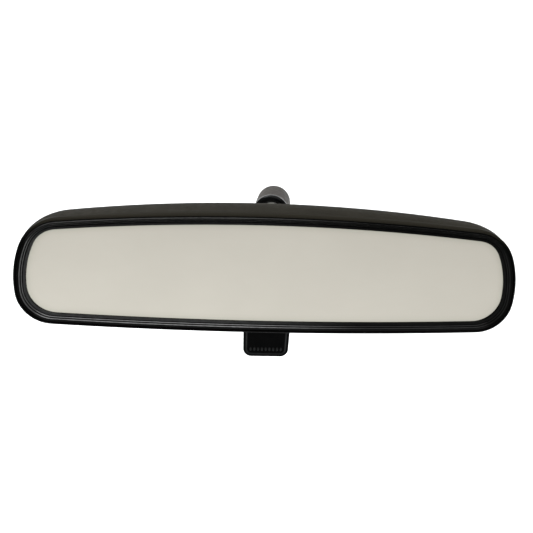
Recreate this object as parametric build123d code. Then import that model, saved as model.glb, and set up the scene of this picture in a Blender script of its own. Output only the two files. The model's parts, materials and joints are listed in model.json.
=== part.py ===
from build123d import *
import math
import os

# Interior rearview mirror: a day and night prism head on a double ball arm with a windshield button.
# Millimetres. The pieces are drawn with zero at the middle of the glass front, X to the driver's
# right, Y forward and Z up. They are written with zero at the middle of the button's bonding face.

# Glass outline and prism
glass_half_width = 121.0
glass_half_height = 25.8
top_sweep = 1100.0
bottom_sweep = 2430.0
side_radius = 49.0
side_centre = -8.9
corner_radius = 14.0
upper_corner_growth = 1.7
lower_corner_growth = 0.6
glass_tuck = 1.2
glass_thin = 2.3
glass_thick = 4.8
film_thickness = 0.3
film_inset = 0.3

# Front bezel
bezel_width = 6.0
bezel_front = -2.2
bezel_back = 2.5
bezel_roll = 1.7
lip_front = -0.8
lip_width = 1.5
slope_width = 3.3
flange_outer = 2.6
flange_back = 4.5

# Rear case
case_wall = 2.0
rim_step = 0.2
shoulder_depth = 12.0
crown_depth = 24.5
shoulder_rise = 1.6
shoulder_sweep = 850.0
back_sweep = 600.0
side_pull = 62.0
top_pull = 25.0
bottom_pull = 20.0
back_turns = (22, 44, 64, 82)
neck_hole_radius = 9.0
rib_thickness = 2.0
rib_front = 8.0
pad_width = 8.0
pad_height = 26.0
pad_places = (-88.0, -45.0, 45.0, 88.0)

# Tilt pivot and toggle
pin_radius = 1.25
press_gap = 0.02
run_gap = 0.05
tilt_pin_y = 10.5
tilt_pin_z = 21.0
tilt_angle = 4.0
tilt_lug_inner = 15.4
tilt_lug_outer = 19.0
toggle_pin_y = 14.5
toggle_pin_z = -20.0
flip_angle = 38.0
toggle_lug_inner = 14.2
toggle_lug_outer = 17.2
cam_radius = 3.0
cam_gap = 0.12
cam_half_length = 7.5
hub_radius = 2.6
hub_half_length = 13.6
tab_lean = 4.0
tab_top_width = 26.2
tab_tip_width = 24.9
tab_thickness = 4.0
tab_drop = 34.6
tab_shift = 0.6
tab_corner = 4.6
tab_border = 1.7
tab_recess = 0.8
slot_front = 3.6
slot_back = 18.6
clip_radius = 3.0
clip_thickness = 0.6

# Pivot bracket
plate_front = 17.5
plate_thickness = 2.0
plate_half_width = 14.9
plate_top = 24.6
plate_bottom = -10.0
ear_thickness = 2.0
ear_radius = 3.8
bush_wall = 0.9
yoke_half_width = 9.6
yoke_top = -11.5
yoke_bottom = -17.0
yoke_strap = 1.6
leaf_thickness = 0.4
leaf_half_width = 4.0

# Ball joints and arm
ball_radius = 7.5
seat_gap = 0.1
seat_wall = 1.0
neck_radius = 3.0
front_ball = Vector(2.3, 52.0, 18.9)
arm_yaw = 5.3
arm_pitch = 5.3
arm_length = 34.0
front_tube_radius = 10.2
rear_tube_radius = 10.5
mouth_radius = 7.0
mouth_length = 5.9
spigot_length = 3.5
spigot_wall = 0.5
seat_opening = 55.0
cup_radius = 4.3
cup_flange_radius = 8.0
cup_flange_start = 9.2
cup_flange_end = 10.7
cup_boss_radius = 3.8
cup_boss_end = 13.0
spring_wire = 0.9
spring_radius = 5.4
spring_turns = 4

# Windshield mount
rake = 42.0
pad_yaw = 4.0
ball_below_pad = 17.7
ball_behind_pad = 35.0
stem_pitch = 15.0
button_length = 32.0
button_thickness = 5.6
button_narrow = 8.2
button_wide = 9.7
button_undercut = 2.0
block_width = 21.6
block_length = 34.0
block_bottom = -10.5
block_top = -1.2
block_corner = 6.0
boss_start = 12.0
boss_end = 27.0
screw_radius = 2.5


def unit(yaw, pitch):
    """Direction that leads forward, turned yaw degrees to the right and pitch degrees down."""
    level = math.cos(math.radians(pitch))
    return Vector(
        level * math.sin(math.radians(yaw)),
        level * math.cos(math.radians(yaw)),
        -math.sin(math.radians(pitch)),
    )


arm_axis = unit(arm_yaw, arm_pitch)
rear_ball = front_ball + arm_axis * arm_length
pad_normal = unit(pad_yaw, rake - 90)
pad_length_axis = unit(pad_yaw, rake)
pad_centre = rear_ball + pad_length_axis * ball_behind_pad + pad_normal * ball_below_pad

front_frame = Plane(origin=front_ball, z_dir=arm_axis)
rear_frame = Plane(origin=rear_ball, z_dir=-arm_axis)
front_seat_frame = Plane(origin=front_ball, z_dir=unit(0, arm_pitch))
stem_frame = Plane(origin=rear_ball, z_dir=unit(arm_yaw, stem_pitch))
pad_frame = Plane(
    origin=pad_centre,
    x_dir=unit(pad_yaw + 90, 0),
    z_dir=pad_normal,
)

# The cam's offset carries the head's bottom through the tilt while the lever turns end to end.
pin_drop = tilt_pin_z - toggle_pin_z
pin_lead = toggle_pin_y - tilt_pin_y
tilt = math.radians(tilt_angle)
half_turn = math.radians((flip_angle + tilt_angle) / 2)
pin_travel = pin_drop * math.sin(tilt) + pin_lead * (1 - math.cos(tilt))
cam_offset = pin_travel / (2 * math.sin(half_turn))
cam_y = toggle_pin_y - cam_offset * math.sin(half_turn)
cam_z = toggle_pin_z + cam_offset * math.cos(half_turn)

prism_slope = (glass_thick - glass_thin) / (2 * (glass_half_height + glass_tuck))
bore_radius = ball_radius + 2 * seat_gap + seat_wall
spigot_radius = bore_radius + spigot_wall


def outline(half_width, top, bottom, side, corners, sweep=top_sweep):
    """Mirror outline: round ends, gently bowed top and bottom, and rounded corners."""
    ends = Pos(0, side_centre) * SlotOverall(2 * half_width, 2 * side)
    top_disc = Pos(0, top - sweep) * Circle(sweep)
    bottom_disc = Pos(0, bottom_sweep - bottom) * Circle(bottom_sweep)
    upper_corner, lower_corner = corners
    blank = fillet((ends & top_disc & bottom_disc).vertices().sort_by(Axis.Y)[2:], upper_corner)
    return fillet(blank.vertices().sort_by(Axis.Y)[:2], lower_corner)


def corners_at(grow, share=1):
    """Upper and lower corner radius of an outline grown from the visible glass."""
    upper = corner_radius + grow * upper_corner_growth
    lower = corner_radius + grow * lower_corner_growth
    return upper * share, lower * share


def rim(grow):
    """Visible glass outline, grown outward by the same width all round."""
    height = glass_half_height + grow
    return outline(glass_half_width + grow, height, height, side_radius + grow, corners_at(grow))


def at_depth(depth):
    """Plane that faces the driver, so that a sketch's x and y are the mirror's X and Z."""
    return Plane(origin=(0, depth, 0), x_dir=(1, 0, 0), z_dir=(0, -1, 0))


def slab(sketch, front, back):
    return extrude(at_depth(front) * sketch, amount=front - back)


def across(profile, start, end):
    """Side profile, drawn in Y and Z, carried along X."""
    return extrude(Plane.YZ.offset(start) * profile, amount=end - start)


def cross_rod(y, z, radius, start, end):
    return across(Pos(y, z) * Circle(radius), start, end)


def block(x_from, x_to, y_from, y_to, z_from, z_to):
    size = (x_to - x_from, y_to - y_from, z_to - z_from)
    return Pos((x_from + x_to) / 2, (y_from + y_to) / 2, (z_from + z_to) / 2) * Box(*size)


def both_sides(piece):
    return piece + mirror(piece, about=Plane.YZ)


def rod(radius, start, end):
    """Round bar on the local Z axis."""
    return Pos(0, 0, start) * Cylinder(radius, end - start, align=(Align.CENTER, Align.CENTER, Align.MIN))


def taper(start_radius, end_radius, start, end):
    bottom_up = (Align.CENTER, Align.CENTER, Align.MIN)
    return Pos(0, 0, start) * Cone(start_radius, end_radius, end - start, align=bottom_up)


def glass_back(z):
    return glass_thin + prism_slope * (z + glass_half_height + glass_tuck)


def behind_glass(start, end):
    """Slab parallel to the prism's back face, between two distances behind it."""
    reach = glass_half_height + 10
    corners = [
        (glass_back(-reach) + start, -reach),
        (glass_back(-reach) + end, -reach),
        (glass_back(reach) + end, reach),
        (glass_back(reach) + start, reach),
    ]
    return across(make_face(Polyline(*corners, close=True)), -glass_half_width * 1.1, glass_half_width * 1.1)


def prism_glass():
    body = slab(rim(glass_tuck), 0, glass_thick * 1.5)
    return body - behind_glass(0, glass_thick * 2)


def backing_film():
    body = slab(rim(glass_tuck - film_inset), 0, glass_thick * 1.5)
    return body & behind_glass(0, film_thickness)


def foam_pads():
    gap = behind_glass(film_thickness, glass_thick * 4)
    pads = []
    for place in pad_places:
        edge = pad_width / 2
        tall = pad_height / 2
        pads.append(block(place - edge, place + edge, 0, rib_front, -tall, tall) & gap)
    return Part() + pads


def front_bezel():
    body = slab(rim(bezel_width), bezel_front, bezel_back)
    front_edges = body.faces().sort_by(Axis.Y)[0].edges()
    body = fillet(front_edges, bezel_roll)
    body += slab(rim(flange_outer), 0, flange_back)
    slope = loft([at_depth(bezel_front) * rim(slope_width), at_depth(lip_front) * rim(lip_width)])
    body -= slope
    body -= slab(rim(0), bezel_front, 0)
    body -= slab(rim(glass_tuck + 0.15), 0, flange_back)
    notch = block(-toggle_lug_outer, toggle_lug_outer, 3.0, flange_back, -40, -glass_half_height)
    return body - notch


def case_section(depth, inset, pull, sweep):
    """One cross-section of the case, pulled in by a share of the full side, top and bottom pull."""
    grow = bezel_width - rim_step - inset
    half_width = glass_half_width + grow - side_pull * pull
    top = glass_half_height + grow - top_pull * pull
    bottom = glass_half_height + grow - bottom_pull * pull
    share = (top + bottom) / (2 * (glass_half_height + bezel_width))
    side = (side_radius + grow) * share
    return at_depth(depth) * outline(half_width, top, bottom, side, corners_at(grow, share), sweep)


def case_blank(inset, front):
    """Case volume, inset inside the outer skin by the given thickness."""
    sections = [
        case_section(front, inset, 0, top_sweep),
        case_section(shoulder_depth, inset - shoulder_rise, 0, shoulder_sweep),
    ]
    for turn in back_turns:
        angle = math.radians(turn)
        depth = shoulder_depth + (crown_depth - inset) * math.sin(angle)
        pull = 1 - math.cos(angle)
        sweep = shoulder_sweep + (back_sweep - shoulder_sweep) * pull
        sections.append(case_section(depth, inset - shoulder_rise, pull, sweep))
    return loft(sections)


def lug(pin_y, pin_z, inner, outer, base_z, back_y):
    """Upright ear round a pin, from its rounded nose back and out to the case wall."""
    radius = pin_radius + 2.2
    nose = Pos(pin_y, pin_z) * Circle(radius)
    low = min(base_z, pin_z)
    high = max(base_z, pin_z)
    foot = Pos((pin_y - radius + back_y) / 2, (low + high) / 2) * Rectangle(back_y - pin_y + radius, high - low)
    return across(nose + foot, inner, outer)


def rear_case():
    outside = case_blank(0, bezel_back)
    inside = case_blank(case_wall, bezel_back - 1)
    ribs = [
        block(place - rib_thickness / 2, place + rib_thickness / 2, rib_front, 40, -22, 22)
        for place in pad_places
    ]
    lugs = both_sides(lug(tilt_pin_y, tilt_pin_z, tilt_lug_inner, tilt_lug_outer, 40, 24.0))
    lugs += both_sides(lug(toggle_pin_y, toggle_pin_z, toggle_lug_inner, toggle_lug_outer, -40, 19.0))
    inner_work = lugs
    for rib in ribs:
        inner_work += rib
    case = (outside - inside) + (inner_work & outside)
    case -= cross_rod(tilt_pin_y, tilt_pin_z, pin_radius + press_gap, -25, 25)
    case -= cross_rod(toggle_pin_y, toggle_pin_z, pin_radius + press_gap, -25, 25)
    neck_path = Plane(origin=(front_ball.X, 20, front_ball.Z - 1), z_dir=(0, 1, 0))
    case -= neck_path * rod(neck_hole_radius, 2, 40)
    slot_half_width = toggle_lug_inner - 0.4
    case -= block(-slot_half_width, slot_half_width, slot_front, slot_back, -45, -24)
    return case


def tilt_pin():
    reach = tilt_lug_outer + clip_thickness + 0.5
    return cross_rod(tilt_pin_y, tilt_pin_z, pin_radius, -reach, reach)


def toggle_pin():
    reach = toggle_lug_outer + clip_thickness + 0.5
    return cross_rod(toggle_pin_y, toggle_pin_z, pin_radius, -reach, reach)


def pin_clips():
    clips = []
    pins = [(tilt_pin_y, tilt_pin_z, tilt_lug_outer), (toggle_pin_y, toggle_pin_z, toggle_lug_outer)]
    for y, z, lug_face in pins:
        for side in (-1, 1):
            start = side * lug_face
            end = side * (lug_face + clip_thickness)
            ring = cross_rod(y, z, clip_radius, min(start, end), max(start, end))
            ring -= cross_rod(y, z, pin_radius + press_gap, -25, 25)
            clips.append(ring)
    return Part() + clips


def tab_shape(top_width, tip_width, top, tip, corner):
    """Tapered tab outline with rounded lower corners."""
    corners = [(-top_width / 2, top), (top_width / 2, top), (tip_width / 2, tip), (-tip_width / 2, tip)]
    face = make_face(Polyline(*corners, close=True))
    return fillet(face.vertices().sort_by(Axis.Y)[:2], corner)


def toggle_lever():
    front = -tab_thickness / 2
    tab = slab(tab_shape(tab_top_width, tab_tip_width, 0, -tab_drop, tab_corner), front, -front)
    inner_top = tab_top_width - 2 * tab_border
    inner_tip = tab_tip_width - 2 * tab_border
    hollow = tab_shape(inner_top, inner_tip, -12, -tab_drop + tab_border, tab_corner - 1)
    tab -= slab(hollow, front, front + tab_recess)
    ledge = tab_shape(tab_tip_width, tab_tip_width - 1, -tab_drop + tab_corner, -tab_drop, tab_corner - 1)
    tab += slab(ledge, front - 1.0, front)
    for row in range(3):
        for place in range(-4, 5):
            bump = Sphere(0.5)
            tab += Pos(place * 2.0, front + tab_recess, -tab_drop + 4.4 + row * 1.8) * bump
    lever = Pos(tab_shift, toggle_pin_y, toggle_pin_z) * Rot(tab_lean, 0, 0) * tab
    lever += cross_rod(toggle_pin_y, toggle_pin_z, hub_radius, -hub_half_length, hub_half_length)
    middle = Pos((toggle_pin_y + cam_y) / 2, (toggle_pin_z + cam_z) / 2)
    web = middle * Rot(0, 0, math.degrees(half_turn)) * Rectangle(4, cam_offset)
    lever += across(web, -cam_half_length, cam_half_length)
    lever += cross_rod(cam_y, cam_z, cam_radius, -cam_half_length, cam_half_length)
    return lever - cross_rod(toggle_pin_y, toggle_pin_z, pin_radius + run_gap, -25, 25)


def pivot_bracket():
    plate_back = plate_front + plate_thickness
    plate = block(-plate_half_width, plate_half_width, plate_front, plate_back, plate_bottom, plate_top)
    plate = fillet(plate.edges().filter_by(Axis.Y), 3)
    plate += block(-yoke_half_width, yoke_half_width, plate_front, plate_back, yoke_bottom, plate_bottom + 4)
    slot_half = cam_radius + cam_gap
    slot_front_y = cam_y - slot_half
    yoke_front = slot_front_y - yoke_strap
    plate += block(-yoke_half_width, yoke_half_width, yoke_front, plate_front, yoke_bottom, yoke_top)
    slot_reach = cam_half_length + 0.6
    plate -= block(-slot_reach, slot_reach, slot_front_y, cam_y + slot_half, yoke_bottom, yoke_top)
    nose = Pos(tilt_pin_y, tilt_pin_z) * Circle(ear_radius)
    foot_length = plate_front - tilt_pin_y
    foot = Pos(tilt_pin_y + foot_length / 2, tilt_pin_z) * Rectangle(foot_length, 2 * ear_radius)
    ear = across(nose + foot, plate_half_width - ear_thickness, plate_half_width)
    plate += both_sides(ear)
    plate -= cross_rod(tilt_pin_y, tilt_pin_z, pin_radius + run_gap + bush_wall, -25, 25)
    stud_hole = Plane(origin=(front_ball.X, 0, front_ball.Z), z_dir=(0, 1, 0))
    return plate - stud_hole * rod(neck_radius + 0.1, plate_front - 1, plate_back + 1)


def tilt_bushes():
    bore = pin_radius + run_gap
    bushes = []
    inner_face = plate_half_width - ear_thickness
    for side in (-1, 1):
        ends = sorted([side * inner_face, side * (plate_half_width + 0.25)])
        flange = sorted([side * inner_face, side * (inner_face - 0.5)])
        bush = cross_rod(tilt_pin_y, tilt_pin_z, bore + bush_wall - press_gap, *ends)
        bush += cross_rod(tilt_pin_y, tilt_pin_z, bore + bush_wall + 0.9, *flange)
        bush -= cross_rod(tilt_pin_y, tilt_pin_z, bore, -25, 25)
        bushes.append(bush)
    return Part() + bushes


def detent_spring():
    slot_half = cam_radius + cam_gap - 0.2
    level = yoke_top + leaf_thickness / 2
    path = Polyline((cam_y - 4.4, level), (cam_y - slot_half, level))
    path += ThreePointArc((cam_y - slot_half, level), (cam_y, level - 1.2), (cam_y + slot_half, level))
    path += Polyline((cam_y + slot_half, level), (cam_y + 4.2, level))
    return across(trace(path, leaf_thickness), -leaf_half_width, leaf_half_width)


def front_ball_stud():
    along = Plane(origin=(front_ball.X, 0, front_ball.Z), z_dir=(0, 1, 0))
    plate_back = plate_front + plate_thickness
    stud = Pos(front_ball) * Sphere(ball_radius)
    stud += along * rod(neck_radius, plate_front - 4.8, front_ball.Y)
    return stud + along * rod(neck_radius + 2.5, plate_back, plate_back + 2)


def stud_washer():
    along = Plane(origin=(front_ball.X, 0, front_ball.Z), z_dir=(0, 1, 0))
    return along * (rod(6.0, plate_front - 1, plate_front) - rod(neck_radius + 0.2, 0, plate_front))


def stud_nut():
    along = Plane(origin=(front_ball.X, plate_front - 4.2, front_ball.Z), z_dir=(0, 1, 0))
    hexagon = extrude(RegularPolygon(5.0, 6, major_radius=False), amount=3.2)
    return along * (chamfer(hexagon.edges().group_by(Axis.Z)[0], 0.4) - rod(neck_radius + press_gap, -1, 5))


def collar(tube_radius, roll):
    """Ball retainer with its ball at zero, mouth below and the tube above."""
    outer = rod(tube_radius, -mouth_length, -1)
    outer = fillet(outer.edges().group_by(Axis.Z)[0], roll)
    outer += rod(spigot_radius - press_gap, -1, spigot_length - 1)
    outer -= Sphere(bore_radius)
    outer -= rod(bore_radius, 0, spigot_length)
    outer -= rod(mouth_radius, -mouth_length, 0)
    return outer - taper(mouth_radius + 1, mouth_radius, -mouth_length, -mouth_length + 0.8)


def stay_tube():
    """Tapered tube between the two ball retainers, counterbored at each end for their spigots."""
    taper_end = arm_length - 8
    tube = taper(front_tube_radius, rear_tube_radius, -1, taper_end)
    tube += rod(rear_tube_radius, taper_end, arm_length + 1)
    tube -= rod(bore_radius, -1, arm_length + 1)
    tube -= rod(spigot_radius, -1, spigot_length - 1)
    tube -= rod(spigot_radius, arm_length + 1 - spigot_length, arm_length + 1)
    return front_frame * tube


def seat_ring():
    """Band of a sphere between the ball and its retainer, open towards both ends."""
    inner = ball_radius + seat_gap
    band = Sphere(inner + seat_wall) - Sphere(inner)
    reach = inner + seat_wall + 1
    spread = reach * math.tan(math.radians(seat_opening))
    return band - taper(0, spread, 0, reach) - taper(spread, 0, -reach, 0)


def spring_cup():
    """Plunger that the spring presses on the ball, with a pilot for the coil."""
    cup = rod(cup_radius, 4, cup_flange_start)
    cup += rod(cup_flange_radius, cup_flange_start, cup_flange_end)
    cup += rod(cup_boss_radius, cup_flange_end, cup_boss_end)
    return cup - Sphere(ball_radius + seat_gap) - rod(1.2, 0, cup_boss_end)


def arm_spring():
    start = cup_flange_end + spring_wire + 0.1
    length = arm_length - 2 * start
    coil = Helix(length / spring_turns, length, spring_radius)
    section = Plane(origin=coil @ 0, z_dir=coil % 0) * Circle(spring_wire)
    return front_frame * Pos(0, 0, start) * sweep(section, path=coil, is_frenet=True)


def wedge(extra, top_z, bottom_z, lower_end):
    """Keystone shape of the button: wider at its lower end and away from the glass."""
    faces = []
    for level in (top_z, bottom_z):
        flare = button_undercut * (1 + level / button_thickness)
        upper = button_narrow - flare + extra
        slope = (button_wide - button_narrow) / button_length
        lower = upper + slope * (lower_end + button_length / 2)
        low_y = -button_length / 2 - extra
        corners = [(-upper, low_y), (upper, low_y), (lower, lower_end), (-lower, lower_end)]
        faces.append(Pos(0, 0, level) * make_face(Polyline(*corners, close=True)))
    return loft(faces)


def windshield_button():
    button = wedge(0, 0, -button_thickness, button_length / 2)
    return pad_frame * fillet(button.edges().filter_by(lambda edge: abs(edge.tangent_at(0.5).Z) > 0.5), 2.0)


def channel_mount():
    body = extrude(RectangleRounded(block_width, block_length, block_corner), amount=block_top - block_bottom)
    body = Pos(0, 0, block_bottom) * body
    body = fillet(body.edges().group_by(Axis.Z)[0], 2)
    body -= Pos(0, 4, 0) * rod(screw_radius + press_gap, block_bottom - 5, -button_thickness)
    body = pad_frame * body + stem_frame * taper(5.2, 6.6, boss_start, boss_end)
    body -= pad_frame * wedge(0.1, 1.0, -button_thickness - 0.1, block_length / 2 + 2)
    return body - stem_frame * rod(neck_radius + press_gap, 0, boss_start + 10)


def rear_ball_stud():
    stud = Sphere(ball_radius) + rod(neck_radius, 0, boss_start + 9.8) + rod(4.8, boss_start - 2, boss_start)
    return stem_frame * stud


def mount_set_screw():
    top = -button_thickness - 0.05
    screw = rod(screw_radius, block_bottom - 0.2, top)
    socket = extrude(RegularPolygon(1.25, 6, major_radius=False), amount=2.4)
    return pad_frame * Pos(0, 4, 0) * (screw - Pos(0, 0, block_bottom - 0.2) * socket)


pieces = {
    "prism_glass": prism_glass(),
    "backing_film": backing_film(),
    "foam_pads": foam_pads(),
    "front_bezel": front_bezel(),
    "rear_case": rear_case(),
    "tilt_pin": tilt_pin(),
    "toggle_pin": toggle_pin(),
    "pin_clips": pin_clips(),
    "toggle_lever": toggle_lever(),
    "pivot_bracket": pivot_bracket(),
    "tilt_bushes": tilt_bushes(),
    "detent_spring": detent_spring(),
    "front_ball_stud": front_ball_stud(),
    "stud_washer": stud_washer(),
    "stud_nut": stud_nut(),
    "front_seat_ring": front_seat_frame * seat_ring(),
    "front_spring_cup": front_frame * spring_cup(),
    "front_collar": front_frame * collar(front_tube_radius, 1.6),
    "stay_tube": stay_tube(),
    "arm_spring": arm_spring(),
    "rear_spring_cup": rear_frame * spring_cup(),
    "rear_collar": rear_frame * collar(rear_tube_radius, 2.2),
    "rear_seat_ring": stem_frame * seat_ring(),
    "rear_ball_stud": rear_ball_stud(),
    "channel_mount": channel_mount(),
    "mount_set_screw": mount_set_screw(),
    "windshield_button": windshield_button(),
}

os.makedirs("parts", exist_ok=True)
for name, piece in pieces.items():
    export_step(Pos(-pad_centre) * piece, f"parts/{name}.step")
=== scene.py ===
import json
import math

import bmesh
import bpy
from mathutils import Matrix, Vector


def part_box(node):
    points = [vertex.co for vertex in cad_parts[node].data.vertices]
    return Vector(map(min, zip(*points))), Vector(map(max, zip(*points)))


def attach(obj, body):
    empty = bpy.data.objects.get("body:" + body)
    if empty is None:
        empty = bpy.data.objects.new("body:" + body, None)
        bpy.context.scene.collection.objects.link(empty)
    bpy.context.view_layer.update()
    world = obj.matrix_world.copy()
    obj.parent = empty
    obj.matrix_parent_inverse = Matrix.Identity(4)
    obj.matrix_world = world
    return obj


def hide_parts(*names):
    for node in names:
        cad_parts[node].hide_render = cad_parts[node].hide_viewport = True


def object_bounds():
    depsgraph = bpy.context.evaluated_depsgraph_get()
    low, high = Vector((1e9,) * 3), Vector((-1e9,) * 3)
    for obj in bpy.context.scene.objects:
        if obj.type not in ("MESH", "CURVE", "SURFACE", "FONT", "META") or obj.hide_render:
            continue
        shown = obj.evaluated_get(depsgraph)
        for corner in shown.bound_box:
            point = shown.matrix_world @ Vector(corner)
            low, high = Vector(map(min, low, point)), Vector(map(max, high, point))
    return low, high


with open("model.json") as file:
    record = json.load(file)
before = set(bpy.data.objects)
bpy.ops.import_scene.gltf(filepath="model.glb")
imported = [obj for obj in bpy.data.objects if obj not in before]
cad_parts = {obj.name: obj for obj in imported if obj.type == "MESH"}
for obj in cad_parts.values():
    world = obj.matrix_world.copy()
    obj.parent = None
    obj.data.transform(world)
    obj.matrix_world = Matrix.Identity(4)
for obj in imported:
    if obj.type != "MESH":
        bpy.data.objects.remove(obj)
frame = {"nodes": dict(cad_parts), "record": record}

cad_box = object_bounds()
scene = bpy.context.scene
MM = 0.001

glass_low, glass_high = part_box("prism_glass")
glass_centre = Vector(((glass_low.x + glass_high.x) / 2, glass_low.y, (glass_low.z + glass_high.z) / 2))


# Camera

CAMERA_AZIMUTH = math.radians(-3.13)
CAMERA_ELEVATION = math.radians(20)
CAMERA_ROLL = math.radians(2.54)
CAMERA_DISTANCE = 300 * MM
CAMERA_RIGHT = -1.63 * MM
CAMERA_UP = 4.18 * MM
CAMERA_LENS = 40.275


def add_camera():
    sin_a, cos_a = math.sin(CAMERA_AZIMUTH), math.cos(CAMERA_AZIMUTH)
    sin_e, cos_e = math.sin(CAMERA_ELEVATION), math.cos(CAMERA_ELEVATION)
    back = Vector((sin_a * cos_e, -cos_a * cos_e, sin_e))
    level = Vector((cos_a, sin_a, 0))
    upright = back.cross(level)
    right = level * math.cos(CAMERA_ROLL) + upright * math.sin(CAMERA_ROLL)
    up = upright * math.cos(CAMERA_ROLL) - level * math.sin(CAMERA_ROLL)
    data = bpy.data.cameras.new("camera")
    data.lens = CAMERA_LENS
    data.clip_start = 0.01
    camera = bpy.data.objects.new("camera", data)
    scene.collection.objects.link(camera)
    place = Matrix((right, up, back)).transposed().to_4x4()
    place.translation = glass_centre + back * CAMERA_DISTANCE + right * CAMERA_RIGHT + up * CAMERA_UP
    camera.matrix_world = place
    scene.camera = camera


add_camera()


# Mirror outline: millimetres from the middle of the glass front, seen by the driver

GLASS_HALF_WIDTH = 121.0
GLASS_HALF_HEIGHT = 25.8
TOP_SWEEP = 1100.0
BOTTOM_SWEEP = 2430.0
SIDE_RADIUS = 49.0
SIDE_CENTRE = -8.9
CORNER_RADIUS = 14.0
UPPER_CORNER_GROWTH = 1.7
LOWER_CORNER_GROWTH = 0.6


def touching_centre(first, second, corner):
    """Centre of a corner arc that touches two circles (x, z, radius) from inside, on the right."""
    (ax, az, ar), (bx, bz, br) = first, second
    ra, rb = ar - corner, br - corner
    dx, dz = bx - ax, bz - az
    gap = math.hypot(dx, dz)
    along = (ra * ra - rb * rb + gap * gap) / (2 * gap)
    off = math.sqrt(ra * ra - along * along)
    x, z = ax + dx * along / gap, az + dz * along / gap
    return max((x + side * off * dz / gap, z - side * off * dx / gap) for side in (1, -1))


def outline_points(grow):
    """Closed outline, grown outward from the visible glass edge, from the top middle to the right."""
    top = (0.0, GLASS_HALF_HEIGHT + grow - TOP_SWEEP, TOP_SWEEP)
    side = (GLASS_HALF_WIDTH - SIDE_RADIUS, SIDE_CENTRE, SIDE_RADIUS + grow)
    bottom = (0.0, BOTTOM_SWEEP - GLASS_HALF_HEIGHT - grow, BOTTOM_SWEEP)
    upper_radius = CORNER_RADIUS + grow * (UPPER_CORNER_GROWTH if grow > 0 else 1)
    lower_radius = CORNER_RADIUS + grow * (LOWER_CORNER_GROWTH if grow > 0 else 1)
    upper = touching_centre(top, side, upper_radius)
    lower = touching_centre(side, bottom, lower_radius)

    def angle(centre, point):
        return math.atan2(point[1] - centre[1], point[0] - centre[0])

    top_end, upper_end = angle(top, upper), angle(side, upper)
    lower_end, bottom_end = angle(side, lower), angle(bottom, lower)
    arcs = [
        (*top, math.pi / 2, top_end, 60),
        (*upper, upper_radius, top_end, upper_end, 16),
        (*side, upper_end, lower_end, 36),
        (*lower, lower_radius, lower_end, bottom_end, 16),
        (*bottom, bottom_end, -math.pi / 2, 60),
    ]
    half = []
    for x, z, radius, start, end, steps in arcs:
        for step in range(steps):
            turn = start + (end - start) * step / steps
            half.append((x + radius * math.cos(turn), z + radius * math.sin(turn)))
    half.append((0.0, -GLASS_HALF_HEIGHT - grow))
    return half + [(-x, z) for x, z in reversed(half[1:-1])]


# Mesh helpers

def arc(centre, radius, start, end, steps):
    """Points on an arc of a section, in degrees."""
    points = []
    for step in range(steps + 1):
        turn = math.radians(start + (end - start) * step / steps)
        points.append((centre[0] + radius * math.cos(turn), centre[1] + radius * math.sin(turn)))
    return points


class Mesh:
    """Faces gathered for one piece, with a painted light value and a matte value on every point."""

    def __init__(self):
        self.points = []
        self.painted_light = []
        self.matte = []
        self.faces = []

    def ring(self, points, painted_light=0.0, matte=None):
        start = len(self.points)
        self.points += [Vector(point) for point in points]
        self.painted_light += painted_light if isinstance(painted_light, list) else [painted_light] * len(points)
        self.matte += matte or [0.0] * len(points)
        return list(range(start, len(self.points)))

    def band(self, first, second):
        for spot in range(len(first)):
            after = (spot + 1) % len(first)
            self.faces.append((first[spot], first[after], second[after], second[spot]))

    def stack(self, rings, closed=False):
        for first, second in zip(rings, rings[1:]):
            self.band(first, second)
        if closed:
            self.band(rings[-1], rings[0])

    def cap(self, ring):
        self.faces.append(tuple(ring))

    def rod(self, section, y, z, steps=48, closed=False):
        """Turned section (radius, x) round a line along X."""
        rings = []
        for radius, x in section:
            turns = [2 * math.pi * step / steps for step in range(steps)]
            rings.append(self.ring([(x, y + radius * math.cos(t), z + radius * math.sin(t)) for t in turns]))
        self.stack(rings, closed)
        if not closed:
            self.cap(rings[0])
            self.cap(rings[-1])

    def piece(self, name, slot, body, replaced=(), sharp=40):
        """Turn the millimetres into a piece in the row frame that rides on a body."""
        mesh = bpy.data.meshes.new(name)
        mesh.from_pydata([glass_centre + point * MM for point in self.points], [], self.faces)
        shape = bmesh.new()
        shape.from_mesh(mesh)
        bmesh.ops.recalc_face_normals(shape, faces=shape.faces)
        shape.to_mesh(mesh)
        shape.free()
        # painted_light is a painted highlight on the bezel and tab, and a painted shade on the glass edge.
        for kind, values in (("painted_light", self.painted_light), ("matte", self.matte)):
            mesh.attributes.new(kind, "FLOAT", "POINT").data.foreach_set("value", values)
        mesh.materials.append(materials[slot])
        mesh.shade_smooth()
        mesh.set_sharp_from_angle(angle=math.radians(sharp))
        piece = bpy.data.objects.new(name, mesh)
        scene.collection.objects.link(piece)
        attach(piece, body)
        if replaced:
            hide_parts(*replaced)


# Node helpers: socket places on the Mix node, whose sockets share their names

COLOUR_FIRST, COLOUR_SECOND, COLOUR_RESULT = 6, 7, 2
VALUE_FIRST, VALUE_SECOND, VALUE_RESULT = 2, 3, 0


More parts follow.
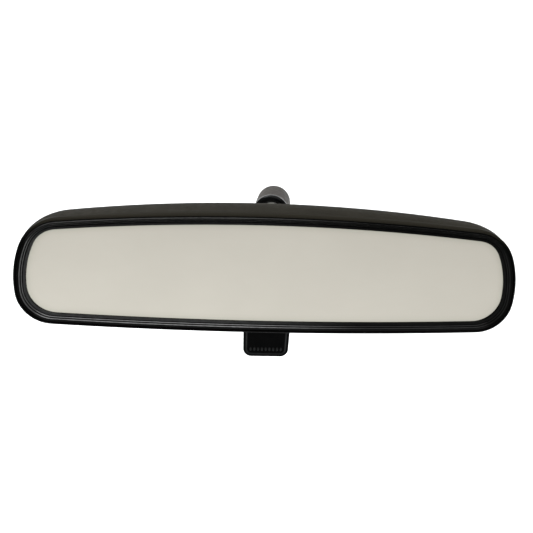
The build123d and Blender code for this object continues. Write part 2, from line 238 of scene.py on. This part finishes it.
class Shader:
    """One procedural material under construction."""

    def __init__(self, name):
        self.material = bpy.data.materials.new(name)
        self.material.use_nodes = True
        self.tree = self.material.node_tree
        self.tree.nodes.clear()
        self.output = self.add("ShaderNodeOutputMaterial")
        self.surface = self.add("ShaderNodeBsdfPrincipled")
        self.link(self.surface, "BSDF", self.output, "Surface")
        self.place = self.add("ShaderNodeTexCoord")

    def add(self, kind, **values):
        node = self.tree.nodes.new(kind)
        for key, value in values.items():
            setattr(node, key, value)
        return node

    def link(self, source, source_socket, target, target_socket):
        self.tree.links.new(source.outputs[source_socket], target.inputs[target_socket])

    def set(self, **values):
        for key, value in values.items():
            self.surface.inputs[key.replace("_", " ")].default_value = value

    def coordinates(self, stretch=(1, 1, 1)):
        mapping = self.add("ShaderNodeMapping")
        mapping.inputs["Scale"].default_value = stretch
        self.link(self.place, "Object", mapping, "Vector")
        return mapping

    def noise(self, size, detail=3, stretch=(1, 1, 1), roughness=0.5):
        node = self.add("ShaderNodeTexNoise")
        node.inputs["Scale"].default_value = 1 / size
        node.inputs["Detail"].default_value = detail
        node.inputs["Roughness"].default_value = roughness
        self.link(self.coordinates(stretch), "Vector", node, "Vector")
        return node, "Fac"

    def cells(self, size, stretch=(1, 1, 1)):
        node = self.add("ShaderNodeTexVoronoi")
        node.inputs["Scale"].default_value = 1 / size
        self.link(self.coordinates(stretch), "Vector", node, "Vector")
        return node, "Distance"

    def ramp(self, source, low, high, low_value, high_value):
        node = self.add("ShaderNodeMapRange")
        node.inputs["From Min"].default_value = low
        node.inputs["From Max"].default_value = high
        node.inputs["To Min"].default_value = low_value
        node.inputs["To Max"].default_value = high_value
        self.link(source[0], source[1], node, "Value")
        return node, "Result"

    def mix_colour(self, source, first, second):
        node = self.add("ShaderNodeMix", data_type="RGBA")
        self.tree.links.new(source[0].outputs[source[1]], node.inputs["Factor"])
        for place, value in ((COLOUR_FIRST, first), (COLOUR_SECOND, second)):
            socket = node.inputs[place]
            if isinstance(value, tuple) and hasattr(value[0], "outputs"):
                self.tree.links.new(value[0].outputs[value[1]], socket)
            else:
                socket.default_value = (*value, 1)
        return node, COLOUR_RESULT

    def colour(self, source):
        self.tree.links.new(source[0].outputs[source[1]], self.surface.inputs["Base Color"])

    def rough(self, source):
        self.link(source[0], source[1], self.surface, "Roughness")

    def painted_value(self, name):
        return self.add("ShaderNodeAttribute", attribute_name=name), "Fac"

    def bump(self, source, height, strength=1.0):
        node = self.add("ShaderNodeBump")
        node.inputs["Distance"].default_value = height
        node.inputs["Strength"].default_value = strength
        self.link(source[0], source[1], node, "Height")
        previous = self.surface.inputs["Normal"].links
        if previous:
            self.tree.links.new(previous[0].from_socket, node.inputs["Normal"])
        self.link(node, "Normal", self.surface, "Normal")


def moulded(name, dark, light, grain, depth, rough_low, rough_high, specular=0.5):
    """Moulded plastic: fine spark-eroded grain, faint cloudy colour and a little dust."""
    shader = Shader(name)
    shader.set(Specular_IOR_Level=specular)
    clouds = shader.noise(9 * MM, 4)
    shader.colour(shader.mix_colour(shader.ramp(clouds, 0.35, 0.65, 0, 1), dark, light))
    shader.rough(shader.ramp(shader.noise(3 * MM, 5), 0.3, 0.7, rough_low, rough_high))
    shader.bump(shader.noise(grain, 4, roughness=0.6), depth)
    shader.bump(shader.cells(grain * 1.7), depth * 0.5)
    return shader.material


def steel(name, dark, light, rough_low, rough_high, stretch, grain=0.25 * MM, depth=0.004 * MM):
    """Bare or plated steel with drawn or turned marks along one direction."""
    shader = Shader(name)
    shader.set(Metallic=1.0)
    marks = shader.noise(grain, 6, stretch)
    shader.colour(shader.mix_colour(shader.ramp(marks, 0.3, 0.7, 0, 1), dark, light))
    shader.rough(shader.ramp(shader.noise(1.5 * MM, 4, stretch), 0.3, 0.7, rough_low, rough_high))
    shader.bump(marks, depth)
    return shader.material


def painted(name, dark, light, rough_low, rough_high, peel=1.2 * MM, depth=0.01 * MM):
    """Sprayed paint with orange peel and faint mottling."""
    shader = Shader(name)
    shader.set(Specular_IOR_Level=0.12)
    mottle = shader.noise(4 * MM, 6)
    shader.colour(shader.mix_colour(shader.ramp(mottle, 0.3, 0.7, 0, 1), dark, light))
    shader.rough(shader.ramp(shader.noise(2 * MM, 4), 0.3, 0.7, rough_low, rough_high))
    shader.bump(shader.noise(peel, 2), depth)
    shader.bump(shader.noise(0.15 * MM, 3), depth * 0.3)
    return shader.material


def mirror_material():
    """Silvered prism glass: warm grey reflection, faint wipe marks and a painted shade that makes the edge
    darker and greener.
    """
    shader = Shader("mirror_glass")
    shader.set(Metallic=1.0)
    haze = shader.noise(35 * MM, 3)
    patches = shader.ramp(haze, 0.3, 0.7, 0, 1)
    silver = shader.mix_colour(patches, (0.357, 0.338, 0.297), (0.370, 0.350, 0.308))
    # Painted shade: the glass darkens and greens toward its edge.
    edge = shader.ramp(shader.painted_value("painted_light"), 0, 1, 0, 0.6)
    shader.colour(shader.mix_colour(edge, silver, (0.20, 0.205, 0.165)))
    smears = shader.noise(12 * MM, 6, (0.4, 1, 1.6))
    shader.rough(shader.ramp(smears, 0.35, 0.8, 0.02, 0.06))
    return shader.material


CASE_TONE = (0.0112, 0.0100, 0.0073)
CASE_ROUGHNESS = 0.68
UNMARKED_SPECULAR = 0.015


def black_with_painted_sheen(name, dark, light, highlight_colour, gloss, rough_low, rough_high, grain, depth):
    """Black plastic, lighter and glossier where a highlight is painted on, and like the case where it is
    matte.

    The export leaves out a linked specular level, so there this plastic has the usual level of 0.5.
    """
    shader = Shader(name)
    clouds = shader.ramp(shader.noise(9 * MM, 4), 0.35, 0.65, 0, 1)
    black = shader.mix_colour(clouds, dark, light)
    # Painted highlight: the painted light value, varied by noise, lightens the black toward the highlight
    # colour and also raises the specular level.
    patchy_strength = shader.ramp(shader.noise(2 * MM, 5), 0.3, 0.7, 0.6, 1.0)
    highlight = shader.add("ShaderNodeMath", operation="MULTIPLY")
    shader.link(*shader.painted_value("painted_light"), highlight, 0)
    shader.link(*patchy_strength, highlight, 1)
    matte = shader.painted_value("matte")
    highlighted_colour = shader.mix_colour((highlight, 0), black, highlight_colour)
    shader.colour(shader.mix_colour(matte, highlighted_colour, CASE_TONE))
    shine = shader.ramp((highlight, 0), 0, 1, UNMARKED_SPECULAR, gloss)
    shader.link(*shine, shader.surface, "Specular IOR Level")
    gloss_patches = shader.ramp(shader.noise(3 * MM, 5), 0.3, 0.7, rough_low, rough_high)
    roughness = shader.add("ShaderNodeMix", data_type="FLOAT")
    shader.link(*matte, roughness, "Factor")
    shader.link(*gloss_patches, roughness, VALUE_FIRST)
    roughness.inputs[VALUE_SECOND].default_value = CASE_ROUGHNESS
    shader.rough((roughness, VALUE_RESULT))
    shader.bump(shader.noise(grain, 4), depth)
    return shader.material


materials = {
    "case_plastic": moulded(
        "case_plastic", (0.0106, 0.0094, 0.0068), (0.0126, 0.0112, 0.0082),
        grain=0.35 * MM, depth=0.03 * MM, rough_low=0.6, rough_high=0.75, specular=0.05),
    # Its third colour is the painted highlight on the bezel's fine lines.
    "bezel_plastic": black_with_painted_sheen(
        "bezel_plastic", (0.0010, 0.0010, 0.0009), (0.0016, 0.0016, 0.0014), (0.05, 0.051, 0.050),
        gloss=0.5, rough_low=0.14, rough_high=0.22, grain=0.5 * MM, depth=0.0008 * MM),
    "mirror_glass": mirror_material(),
    "film_plastic": moulded(
        "film_plastic", (0.30, 0.31, 0.32), (0.36, 0.37, 0.38),
        grain=0.8 * MM, depth=0.005 * MM, rough_low=0.4, rough_high=0.5),
    "foam": moulded(
        "foam", (0.012, 0.012, 0.013), (0.03, 0.03, 0.032),
        grain=0.5 * MM, depth=0.15 * MM, rough_low=0.85, rough_high=0.95),
    "pin_steel": steel(
        "pin_steel", (0.42, 0.42, 0.43), (0.6, 0.6, 0.61),
        rough_low=0.2, rough_high=0.35, stretch=(0.05, 1, 1)),
    # Its third colour is the painted highlight on the tab's bevel and rib crowns.
    "toggle_plastic": black_with_painted_sheen(
        "toggle_plastic", (0.0006, 0.0007, 0.0007), (0.0012, 0.0013, 0.0013), (0.006, 0.007, 0.007),
        gloss=0.15, rough_low=0.3, rough_high=0.42, grain=0.3 * MM, depth=0.003 * MM),
    "bracket_nylon": moulded(
        "bracket_nylon", (0.010, 0.010, 0.011), (0.02, 0.02, 0.021),
        grain=0.4 * MM, depth=0.02 * MM, rough_low=0.45, rough_high=0.6),
    "bush_nylon": moulded(
        "bush_nylon", (0.62, 0.60, 0.52), (0.7, 0.68, 0.6),
        grain=0.4 * MM, depth=0.01 * MM, rough_low=0.35, rough_high=0.5),
    "spring_steel": steel(
        "spring_steel", (0.25, 0.25, 0.28), (0.42, 0.42, 0.44),
        rough_low=0.25, rough_high=0.4, stretch=(1, 0.2, 1)),
    "stud_steel": painted(
        "stud_steel", (0.34, 0.342, 0.315), (0.44, 0.443, 0.41),
        rough_low=0.4, rough_high=0.52, peel=0.3 * MM, depth=0.004 * MM),
    "seat_nylon": moulded(
        "seat_nylon", (0.004, 0.004, 0.0045), (0.008, 0.008, 0.009),
        grain=0.5 * MM, depth=0.004 * MM, rough_low=0.25, rough_high=0.35, specular=0.25),
    "tube_paint": painted(
        "tube_paint", (0.0110, 0.0082, 0.0058), (0.0170, 0.0132, 0.0096),
        rough_low=0.45, rough_high=0.6),
    "collar_black": moulded(
        "collar_black", (0.0015, 0.0015, 0.0016), (0.003, 0.003, 0.003),
        grain=0.6 * MM, depth=0.002 * MM, rough_low=0.2, rough_high=0.3, specular=0.04),
    "mount_zinc": painted(
        "mount_zinc", (0.003, 0.003, 0.003), (0.006, 0.006, 0.006), rough_low=0.35, rough_high=0.5),
    "button_metal": steel(
        "button_metal", (0.10, 0.10, 0.10), (0.17, 0.17, 0.165),
        rough_low=0.5, rough_high=0.62, stretch=(1, 1, 1), grain=0.3 * MM, depth=0.01 * MM),
}

for part in frame["record"]["subparts"]:
    node = frame["nodes"][part["node"]]
    node.data.materials.clear()
    node.data.materials.append(materials[part["material_slot"]])


# Front bezel

# The painted highlight lines fade toward the right, and their places differ below and above the brow, where
# the light falls on them. Above the brow the outer roll is matte, like the case.
FADE_START = -15
FADE_END = 55
LEAST_HIGHLIGHT = 0.12
BROW_LEVEL = 0.55
BROW_BLEND = 0.3


def share(value):
    return min(max(value, 0), 1)


def bezel_section():
    """Closed section from the lip round to the flange: outward, depth, painted highlight below and above the
    brow, matte.
    """
    lip = [(0.0, -0.02), (0.0, -0.5), (0.06, -0.7), (0.2, -0.8), (1.2, -0.8)]
    inner_step = [(1.35, -0.7, 0), (1.5, -0.5, 0), (1.7, -0.5, 0), (1.76, -0.62, 0.6), (2.0, -1.04, 1)]
    outer_step = [(2.15, -1.1, 0), (2.6, -1.12, 0), (2.7, -1.2, 0.6), (2.94, -1.62, 1), (3.1, -1.68, 0)]
    edge = [(3.35, -1.72, 0), (3.6, -2.08, 0), (3.75, -2.2, 0.7), (3.88, -2.16, 1), (4.08, -1.82, 1)]
    groove = [(4.2, -1.5), (4.5, -1.5), (4.62, -1.95)]
    roll = arc((4.5, -0.7), 1.5, 280, 360, 14)
    roll += [(6.0, 1.95), (5.9, 2.08), (5.55, 2.12), (5.45, 2.2), (5.45, 2.5)]
    flange = [(2.6, 2.5), (2.6, 4.35), (2.45, 4.5), (1.5, 4.5), (1.35, 4.35), (1.35, 0)]
    # Painted highlight: the lip is lighter below the brow than above, the two fine steps are lit below, the
    # edge line above.
    section = [(*spot, 0.25, 0.1, 0) for spot in lip]
    section += [(out, depth, painted_light, 0.3 * painted_light, 0) for out, depth, painted_light in inner_step + outer_step]
    section += [(out, depth, 0, painted_light, 0) for out, depth, painted_light in edge]
    section += [(*spot, 0, 0, 0) for spot in groove] + [(*spot, 0, 0, 1) for spot in roll]
    return section + [(*spot, 0, 0, 0) for spot in flange]


def add_bezel():
    bezel = Mesh()
    middle = outline_points(0)
    above = [share((z / GLASS_HALF_HEIGHT - BROW_LEVEL) / BROW_BLEND) for x, z in middle]
    fade = [max(share((FADE_END - x) / (FADE_END - FADE_START)), LEAST_HIGHLIGHT) for x, z in middle]
    rings = []
    for out, depth, highlight_below, highlight_above, matte in bezel_section():
        points = [(x, depth, z) for x, z in outline_points(out)]
        # Painted highlight, chosen by the brow side and fading toward the right.
        painted_light = [(highlight_below + (highlight_above - highlight_below) * up) * left for up, left in zip(above, fade)]
        rings.append(bezel.ring(points, painted_light, [matte * up for up in above]))
    bezel.stack(rings, closed=True)
    bezel.piece("bezel_ring", "bezel_plastic", "mirror_head", ["front_bezel"])


add_bezel()


# Prism glass

GLASS_TUCK = 1.2
GLASS_THIN = 2.3
GLASS_THICK = 4.8
GROUND_EDGE = 0.2
PRISM_SLOPE = (GLASS_THICK - GLASS_THIN) / (2 * (GLASS_HALF_HEIGHT + GLASS_TUCK))
# Outward distance and painted shade on the glass front: the darker edge tone fades toward the middle.
EDGE_FADE = ((0.0, 1.0), (-0.35, 0.7), (-0.9, 0.42), (-1.6, 0.26), (-2.4, 0.12), (-4.0, 0.03), (-8.0, 0.0))


def add_glass():
    glass = Mesh()
    edge = outline_points(GLASS_TUCK)
    back_depth = [GLASS_THIN + PRISM_SLOPE * (z + GLASS_HALF_HEIGHT + GLASS_TUCK) for x, z in edge]
    # The back, ground edge and outer front carry the full painted shade.
    back = glass.ring([(x, depth, z) for (x, z), depth in zip(edge, back_depth)], 1.0)
    ground = glass.ring([(x, GROUND_EDGE, z) for x, z in edge], 1.0)
    front = glass.ring([(x, 0.0, z) for x, z in outline_points(GLASS_TUCK - GROUND_EDGE)], 1.0)
    faded = [glass.ring([(x, 0.0, z) for x, z in outline_points(grow)], painted_light) for grow, painted_light in EDGE_FADE]
    glass.stack([back, ground, front] + faded)
    glass.cap(back)
    glass.cap(faded[-1])
    glass.piece("mirror_plate", "mirror_glass", "mirror_head", ["prism_glass"], 15)


add_glass()


# Toggle lever: the cam carries the head's bottom through the tilt while the lever turns end to end

TILT_Y = 10.5
TILT_Z = 21.0
TOGGLE_Y = 14.5
TOGGLE_Z = -20.0
TILT_ANGLE = math.radians(4)
FLIP_ANGLE = math.radians(38)
HALF_TURN = (FLIP_ANGLE + TILT_ANGLE) / 2
PIN_TRAVEL = (TILT_Z - TOGGLE_Z) * math.sin(TILT_ANGLE) + (TOGGLE_Y - TILT_Y) * (1 - math.cos(TILT_ANGLE))
CAM_OFFSET = PIN_TRAVEL / (2 * math.sin(HALF_TURN))
CAM_Y = TOGGLE_Y - CAM_OFFSET * math.sin(HALF_TURN)
CAM_Z = TOGGLE_Z + CAM_OFFSET * math.cos(HALF_TURN)
CAM_RADIUS = 3.0
CAM_HALF_LENGTH = 7.5
CAM_CHAMFER = 0.3
WEB_HALF_LENGTH = 7.4
WEB_HALF_THICKNESS = 2
HUB_BORE = 1.3
HUB_RADIUS = 2.6
HUB_HALF_LENGTH = 13.6
HUB_CHAMFER = 0.15
TAB_LEAN = math.radians(4)
TAB_TOP_WIDTH = 26.2
TAB_TIP_WIDTH = 24.9
TAB_DROP = 34.6
TAB_SHIFT = 0.6
TAB_CORNER = 4.6
TAB_TOP_CORNER = 2.4
# Inset from the tab's outline, depth and painted highlight, from the back edge round to the sunk face
TAB_SECTION = (
    (1.4, 2.0, 0), (0.7, 2.0, 0), (0.2, 1.8, 0), (0.0, 1.3, 0), (0.0, -1.3, 0), (0.2, -1.8, 0),
    (0.7, -2.0, 0), (1.2, -2.0, 0), (1.6, -1.9, 1), (2.0, -1.6, 1), (2.3, -1.3, 0), (2.7, -1.2, 0),
)
GRIP_COUNT = 9
GRIP_PITCH = 2.1
GRIP_HALF_WIDTH = 0.7
GRIP_HALF_HEIGHT = 1.4
GRIP_ABOVE_TIP = 4.6
GRIP_FOOT = -1.15
GRIP_RISE = 0.45
GRIP_LEVELS = 4


def tab_outline(inset):
    """Tapered tab with round corners, drawn round its hub line, moved inward by the inset."""
    top, tip = -inset, -TAB_DROP + inset
    lean = (TAB_TOP_WIDTH - TAB_TIP_WIDTH) / (2 * TAB_DROP)
    corners = ((top, TAB_TOP_CORNER, 90, 0), (tip, TAB_CORNER, 0, -90))
    points = []
    for level, radius, start, end in corners:
        reach = max(radius - inset, 0.3)
        inward = -reach if start else reach
        wide = TAB_TOP_WIDTH / 2 + lean * (level + inward) - inset
        points += arc((wide - reach, level + inward), reach, start, end, 10)
    return points + [(-x, z) for x, z in reversed(points)]


def on_tab(x, depth, z):
    """Place a point of the tab, which leans forward below its hub."""
    y = depth * math.cos(TAB_LEAN) - z * math.sin(TAB_LEAN)
    height = depth * math.sin(TAB_LEAN) + z * math.cos(TAB_LEAN)
    return x + TAB_SHIFT, TOGGLE_Y + y, TOGGLE_Z + height


def add_grip(tab, middle):
    """Low rounded rib on the tab face."""
    turns = [2 * math.pi * step / 20 for step in range(20)]
    height = -TAB_DROP + GRIP_ABOVE_TIP
    rings = []
    for level in range(GRIP_LEVELS + 1):
        rise = level / GRIP_LEVELS
        size = math.sqrt(1 - rise * rise * 0.98)
        wide, tall = GRIP_HALF_WIDTH * size, GRIP_HALF_HEIGHT * size
        depth = GRIP_FOOT - GRIP_RISE * rise
        # The rib is painted lighter toward its crown, as a highlight.
        rings.append(tab.ring([
            on_tab(middle + wide * math.cos(turn), depth, height + tall * math.sin(turn))
            for turn in turns
        ], rise))
    tab.stack(rings)
    tab.cap(rings[0])
    tab.cap(rings[-1])


def add_web(tab):
    """Block between the hub and the cam."""
    along = Vector((CAM_Y - TOGGLE_Y, CAM_Z - TOGGLE_Z))
    beside = Vector((along.y, -along.x)).normalized() * WEB_HALF_THICKNESS
    start = Vector((TOGGLE_Y, TOGGLE_Z))
    corners = [start + beside, start + along + beside, start + along - beside, start - beside]
    ends = (-WEB_HALF_LENGTH, WEB_HALF_LENGTH)
    rings = [tab.ring([(x, y, z) for y, z in corners]) for x in ends]
    tab.stack(rings)
    tab.cap(rings[0])
    tab.cap(rings[1])


def add_toggle():
    tab = Mesh()
    rings = [
        tab.ring([on_tab(x, depth, z) for x, z in tab_outline(inset)], painted_light)
        for inset, depth, painted_light in TAB_SECTION
    ]
    tab.stack(rings)
    tab.cap(rings[0])
    tab.cap(rings[-1])
    for place in range(GRIP_COUNT):
        add_grip(tab, (place - (GRIP_COUNT - 1) / 2) * GRIP_PITCH)
    hub = [
        (HUB_BORE, HUB_HALF_LENGTH),
        (HUB_RADIUS - HUB_CHAMFER, HUB_HALF_LENGTH),
        (HUB_RADIUS, HUB_HALF_LENGTH - HUB_CHAMFER),
    ]
    tab.rod([(radius, -x) for radius, x in hub] + hub[::-1], TOGGLE_Y, TOGGLE_Z, closed=True)
    cam = [(CAM_RADIUS - CAM_CHAMFER, CAM_HALF_LENGTH), (CAM_RADIUS, CAM_HALF_LENGTH - CAM_CHAMFER)]
    tab.rod([(radius, -x) for radius, x in cam] + cam[::-1], CAM_Y, CAM_Z)
    add_web(tab)
    tab.piece("toggle_tab", "toggle_plastic", "toggle", ["toggle_lever"])


add_toggle()


# Studio

FLOOR_DROP = 90 * MM
FLOOR_REACH = 8.0
SKY_LOW = 0.3
SKY_HIGH = 0.55
WALL_STRENGTH = 1.05
CEILING_STRENGTH = 0.12
KEY_OFFSET = (-0.35, 0.25, 0.9)
KEY_SIZE = (0.5, 0.35)
KEY_POWER = 14
KEY_COLOUR = (0.93, 0.97, 1.0)
SUN_OFFSET = (0.25, -0.6, 1.6)
SUN_STRENGTH = 3.5
SUN_SPREAD = 50


def paper():
    shader = Shader("floor_paper")
    shader.set(Specular_IOR_Level=0.2)
    fibres = shader.noise(20 * MM, 4)
    shader.colour(shader.mix_colour(fibres, (0.86, 0.86, 0.855), (0.88, 0.88, 0.875)))
    shader.rough(shader.ramp(fibres, 0.3, 0.7, 0.85, 0.95))
    return shader.material


def add_floor():
    size = FLOOR_REACH
    level = cad_box[0].z - FLOOR_DROP
    mesh = bpy.data.meshes.new("floor")
    corners = [(-size, -size, level), (size, -size, level), (size, size, level), (-size, size, level)]
    mesh.from_pydata(corners, [], [(0, 1, 2, 3)])
    floor = bpy.data.objects.new("floor", mesh)
    floor.data.materials.append(paper())
    scene.collection.objects.link(floor)


def add_sky():
    """White walls round the studio under a dark ceiling."""
    world = bpy.data.worlds.new("studio")
    world.use_nodes = True
    nodes, links = world.node_tree.nodes, world.node_tree.links
    place = nodes.new("ShaderNodeTexCoord")
    split = nodes.new("ShaderNodeSeparateXYZ")
    fade = nodes.new("ShaderNodeMapRange")
    fade.inputs["From Min"].default_value = SKY_LOW
    fade.inputs["From Max"].default_value = SKY_HIGH
    fade.inputs["To Min"].default_value = WALL_STRENGTH
    fade.inputs["To Max"].default_value = CEILING_STRENGTH
    links.new(place.outputs["Generated"], split.inputs[0])
    links.new(split.outputs["Z"], fade.inputs["Value"])
    links.new(fade.outputs["Result"], nodes["Background"].inputs["Strength"])
    nodes["Background"].inputs["Color"].default_value = (1, 1, 1, 1)
    scene.world = world


def add_key():
    """Soft cool light from above and behind, which lights the fine lines on the bezel, where a highlight is
    also painted.
    """
    data = bpy.data.lights.new("key", "AREA")
    data.shape = "RECTANGLE"
    data.size, data.size_y = KEY_SIZE
    data.energy = KEY_POWER
    data.color = KEY_COLOUR
    light = bpy.data.objects.new("key", data)
    light.location = glass_centre + Vector(KEY_OFFSET)
    light.rotation_euler = (-Vector(KEY_OFFSET)).to_track_quat("-Z", "Y").to_euler()
    scene.collection.objects.link(light)


def add_sun():
    """Broad even light from above the camera."""
    data = bpy.data.lights.new("sun", "SUN")
    data.energy = SUN_STRENGTH
    data.angle = math.radians(SUN_SPREAD)
    sun = bpy.data.objects.new("sun", data)
    sun.rotation_euler = (-Vector(SUN_OFFSET)).to_track_quat("-Z", "Y").to_euler()
    scene.collection.objects.link(sun)


scene.view_settings.view_transform = "Standard"
add_floor()
add_sky()
add_key()
add_sun()
